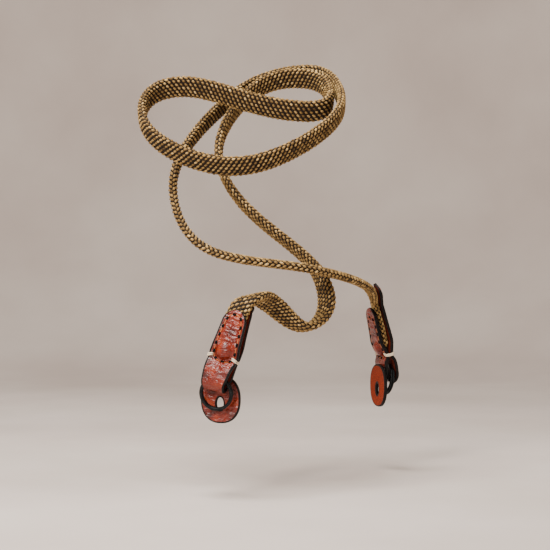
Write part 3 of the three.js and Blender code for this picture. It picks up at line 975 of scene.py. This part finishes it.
def makeTacks(side):
    # threads wrapped over both layers at each edge of the waist, side by side, ends sunk in the leather:
    # a superellipse as deep as the layers, open on the inner side
    f = frames[side]
    angle = np.radians(np.linspace(-tack["wrap"], tack["wrap"], tack["steps"]))
    x, y = superellipse(angle, tack["squareness"])
    outline = roundOutline(tack["thread"], tack["thread"], tack["sides"])
    outs, ups, widths = tabFold[5:3:-1, :3].T  # the two rows by the waist
    grids = []
    for hand in (-1, 1):
        for up in tack["ups"]:
            deep = np.interp(up, ups, outs) + leather["thickness"] / 2
            width = np.interp(up, ups, widths) / 2
            inner = width - tack["reach"]
            reach = inner + (width + tack["edgeGap"] - inner) * np.maximum(x, -tack["tail"])
            sink = np.where(x < tack["sinkFrom"], tack["sink"] * np.sign(y), 0)
            height = (deep + tack["faceGap"]) * y - sink
            path = (
                f["waist"]
                + (up - tack["slope"] * (reach - inner))[:, None] * f["axis"]
                + (hand * reach)[:, None] * f["edge"]
                + height[:, None] * f["front"]
            )
            tangent = unit(np.gradient(path, axis=0))
            sideways = madeSquare(f["axis"], tangent)
            grids.append(sweep(path, sideways, np.cross(tangent, sideways), outline))
    return tubes(f"tacks_{side}", np.array(grids), [creamThread])


for side in ends:
    tab, strip = makeTab(side)
    stitches = makeStitches(side, strip)
    links = makeLinks(side, strip)
    tacks = makeTacks(side)
    for piece in (tab, stitches, links, tacks):
        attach(piece, "root")
    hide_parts(f"tab_{side}")
    print(f"{side} tab made")

# the split rings and the pads, in millimetres
ring = {
    "outerRadius": 9.6, "radialWire": 1.8, "axialWire": 1.2, "squareness": 4, "pitch": 1.36,
    "jog": 35,  # degrees either side of the top, where the wire steps over
    "lean": 8.5,
    "steps": 221,
    "wireSides": 16,
}
pad = {
    "width": 23, "height": 26.5, "thickness": 2.0, "centreUp": 5, "centreAcross": 0.8, "holeWidth": 4,
    "holeHeight": 7, "holeUp": 2.6, "holeAcross": 0.6, "squareness": 2.3, "edgeRound": 0.6,
    "dent": 0.35, "dentRadius": 8.4, "dentSpread": 1.5,  # pressed by the ring
    "around": 144, "across": 25,
}
ringRadius = ring["outerRadius"] - ring["radialWire"] / 2


def seatPoints(side, points):
    # from the seat's own frame (x outward, z up) into the whole strap's
    c, s = frames[side]["outward"][:2]
    x, y, z = np.moveaxis(points, -1, 0)
    return np.stack([c * x - s * y + ends[side]["seatX"], s * x + c * y, z], axis=-1)


def makeRing(side):
    # wire wound twice in a circle, (sin a, cos a) times the radius; over the top it steps from one turn
    # to the other, and the whole leans back
    degrees = np.linspace(ring["jog"], 720 - ring["jog"], ring["steps"])
    shift = (smoothStep(360 - ring["jog"], 360 + ring["jog"], degrees) - 0.5) * ring["pitch"]
    a = np.radians(degrees)
    radial = np.stack([0 * a, np.sin(a), np.cos(a)], axis=-1)
    centre = np.stack([shift, ringRadius * np.sin(a), ringRadius + ringRadius * np.cos(a)], axis=-1)
    axial = np.tile([1.0, 0, 0], (len(a), 1))
    x, y = superellipse(circle(ring["wireSides"]), ring["squareness"])
    grid = sweep(centre, radial, axial, (x * ring["radialWire"] / 2, y * ring["axialWire"] / 2))
    c, s = math.cos(math.radians(ring["lean"])), math.sin(math.radians(ring["lean"]))
    x, y, z = np.moveaxis(grid, -1, 0)
    leaning = np.stack([x * c + z * s, y, z * c - x * s], axis=-1)
    return tubes(f"split_{side}", seatPoints(side, leaning)[None], [blackSteel])


def makePad(side):
    # an oval plate with an oval hole: by angle round it, a closed profile over the front face from the
    # hole to the rim and back along the rear; a point is hole + (rim - hole) * share, set in by the edges'
    # quarter circles, with a soft dent exp(-((distance - radius) / spread)^2) where the ring pressed
    end = ends[side]
    angle = circle(pad["around"])
    x, y = superellipse(angle, pad["squareness"])
    acrossRim = end["mirror"] * pad["centreAcross"] + x * pad["width"] / 2
    acrossHole = end["mirror"] * pad["holeAcross"] + np.cos(angle) * pad["holeWidth"] / 2
    rim = np.stack([acrossRim, pad["centreUp"] + y * pad["height"] / 2], axis=-1)
    hole = np.stack([acrossHole, pad["holeUp"] + np.sin(angle) * pad["holeHeight"] / 2], axis=-1)
    r, t = pad["edgeRound"], pad["thickness"] / 2
    bend = np.radians([90, 67.5, 45, 22.5, 0])
    rise, pull = t - r + r * np.sin(bend), r - r * np.cos(bend)
    shares = np.linspace(0, 1, pad["across"])
    front, rear, corner = shares[1:-1], shares[-2:0:-3], np.ones(len(bend))
    inset = np.concatenate([pull[::-1], 0 * front, -pull, -pull[::-1], 0 * rear, pull])
    high = np.concatenate([rise[::-1], 0 * front + t, rise, -rise[::-1], 0 * rear - t, -rise])
    place = np.concatenate([0 * corner, front, corner, corner, rear, 0 * corner])
    between = (place > 0) & (place < 1)
    span = rim - hole
    length = np.linalg.norm(span, axis=-1)[:, None]
    flat = np.where(between, r / length + place * (1 - 2 * r / length), place + inset / length)
    where = hole[:, None] + span[:, None] * flat[..., None]
    far = np.hypot(where[..., 0], where[..., 1] - ringRadius)
    dent = pad["dent"] * np.exp(-(((far - pad["dentRadius"]) / pad["dentSpread"]) ** 2))
    height = high - np.where(between & (high > 0), dent, 0)
    points = np.stack([end["padFront"] - t + height, where[..., 0], where[..., 1]], axis=-1)
    # a side is grain or suede only if both its points lie between hole and rim
    kind = np.where(between, np.where(high > 0, 0, 1), 2)
    kind = np.maximum(kind, np.roll(kind, -1))
    finishes = [grainLeather, padFlesh, edgePaint]
    return tubes(f"padding_{side}", seatPoints(side, points)[None], finishes, pick=kind, joined=True)


for side in ends:
    splitRing = makeRing(side)
    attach(splitRing, "root")
    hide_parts(f"ring_{side}")
    padPiece = makePad(side)
    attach(padPiece, "root")
    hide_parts(f"pad_{side}")
print("rings and pads made")

# floor and soft studio light, in metres
studio = {
    "centre": (0.07, 0.03),
    "floorDown": 0.0488,
    "flatTo": [0.0005, 0.3, 0.6],  # radii of the flat floor's rings
    "wallBack": 1.25,
    "bend": 0.45,
    "wallUp": 1.5,
    "bendSteps": 17,
    "around": 72,
    "paper": [(0.3, "C6BBB3"), (0.7, "D8CFC8")],
    "sky": "D8D6D4",
    "skyStrength": 0.2,
}
lights = {
    "top softbox": {
        "place": (-0.15, 0.03, 0.95), "target": (0.07, 0.03, 0.08),
        "size": (0.45, 0.35), "power": 15.5, "tint": "FFF9F3",
    },
    "front left softbox": {
        "place": (-0.78, -0.22, 0.52), "target": (0.03, 0.0, 0.08),
        "size": (0.24, 0.3), "power": 9, "tint": "FFF7EF",
    },
}


def makeStudio():
    # a round paper dish: flat floor, a quarter turn and an upright wall, carried round the centre
    bend = np.radians(np.linspace(0, 90, studio["bendSteps"]))
    radius, wall = studio["bend"], studio["wallBack"]
    out = np.concatenate([studio["flatTo"], wall - radius + radius * np.sin(bend), [wall]])
    up = np.concatenate([[0, 0, 0], radius - radius * np.cos(bend), [studio["wallUp"]]])
    up = up - studio["floorDown"]
    turn = circle(studio["around"])
    east = studio["centre"][0] + out[:, None] * np.cos(turn)
    north = studio["centre"][1] + out[:, None] * np.sin(turn)
    grid = np.stack([east, north, np.tile(up[:, None], (1, len(turn)))], axis=-1)
    index = np.arange(len(out) * len(turn)).reshape(len(out), len(turn))
    beside = np.roll(index, -1, axis=1)
    faces = np.stack([index[:-1], index[1:], beside[1:], beside[:-1]], axis=-1).reshape(-1, 4)
    mesh = bpy.data.meshes.new("sweep")
    mesh.from_pydata(grid.reshape(-1, 3).tolist(), [], faces.tolist() + [index[0].tolist()])
    mesh.polygons.foreach_set("use_smooth", np.ones(len(mesh.polygons), bool))
    # seamless background paper: matt, with a faint cloudiness
    settings = {"Roughness": 0.9, "Specular IOR Level": 0.2}
    mesh.materials.append(makeMottled("pale grey paper", settings, 5.0, 5.0, studio["paper"]))
    addObject("sweep", mesh)


def addLight(name, place, target, size, power, tint):
    # a rectangular softbox at place that faces the target
    lamp = bpy.data.lights.new(name, "AREA")
    lamp.shape = "RECTANGLE"
    lamp.size, lamp.size_y = size
    lamp.energy = power
    lamp.color = colour(tint)[:3]
    obj = addObject(name, lamp)
    obj.location = place
    obj.rotation_euler = (Vector(target) - Vector(place)).to_track_quat("-Z", "Y").to_euler()


makeStudio()
for name, light in lights.items():
    addLight(name, **light)
world = bpy.data.worlds.new("studio")
bpy.context.scene.world = world
world.use_nodes = True
sky = world.node_tree.nodes["Background"]
sky.inputs["Color"].default_value = colour(studio["sky"])
sky.inputs["Strength"].default_value = studio["skyStrength"]
print("studio made")
